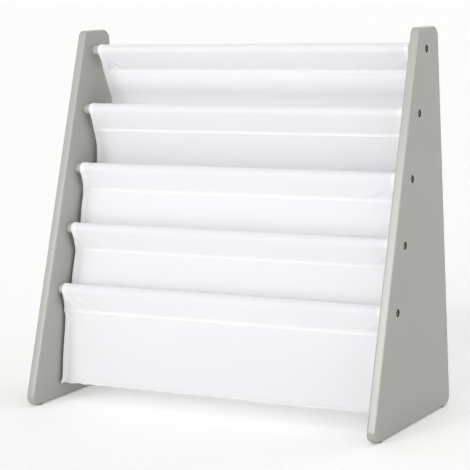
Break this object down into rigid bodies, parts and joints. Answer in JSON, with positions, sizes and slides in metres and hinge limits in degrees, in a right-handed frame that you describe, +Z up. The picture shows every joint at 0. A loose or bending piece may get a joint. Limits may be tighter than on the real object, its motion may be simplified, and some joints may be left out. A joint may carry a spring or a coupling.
{
  "type": "sling bookshelf",
  "caption": "Free-standing book rack for children: two leaning painted side panels joined by round dowels that carry a white cloth sewn into hanging pockets.",
  "frame": {"origin": "on the floor, at the middle of the rack's width and depth", "axes": "+X along the dowels, to the right seen from the front; -Y is the front, where the books go in; +Z up"},
  "size_m": [0.62, 0.2742, 0.5966],
  "materials": {
    "panel_paint": "board with a satin grey paint",
    "dowel_paint": "round wood with a light grey paint",
    "bolt_metal": "dark plated steel",
    "insert_metal": "plain zinc",
    "glide_plastic": "matt",
    "sling_cloth": "plain white weave"
  },
  "bodies": {
    "root": {"left_side_panel": "panel_paint", "right_side_panel": "panel_paint", "dowel_1": "dowel_paint", "dowel_2": "dowel_paint", "dowel_3": "dowel_paint", "dowel_4": "dowel_paint", "dowel_5": "dowel_paint", "left_insert_1": "insert_metal", "left_insert_2": "insert_metal", "left_insert_3": "insert_metal", "left_insert_4": "insert_metal", "left_insert_5": "insert_metal", "right_insert_1": "insert_metal", "right_insert_2": "insert_metal", "right_insert_3": "insert_metal", "right_insert_4": "insert_metal", "right_insert_5": "insert_metal", "left_bolt_1": "bolt_metal", "left_bolt_2": "bolt_metal", "left_bolt_3": "bolt_metal", "left_bolt_4": "bolt_metal", "left_bolt_5": "bolt_metal", "right_bolt_1": "bolt_metal", "right_bolt_2": "bolt_metal", "right_bolt_3": "bolt_metal", "right_bolt_4": "bolt_metal", "right_bolt_5": "bolt_metal", "left_front_glide": "glide_plastic", "left_back_glide": "glide_plastic", "right_front_glide": "glide_plastic", "right_back_glide": "glide_plastic", "pocket_cloth_1": "sling_cloth", "pocket_cloth_2": "sling_cloth", "pocket_cloth_3": "sling_cloth", "pocket_cloth_4": "sling_cloth"}
  },
  "joints": []
}
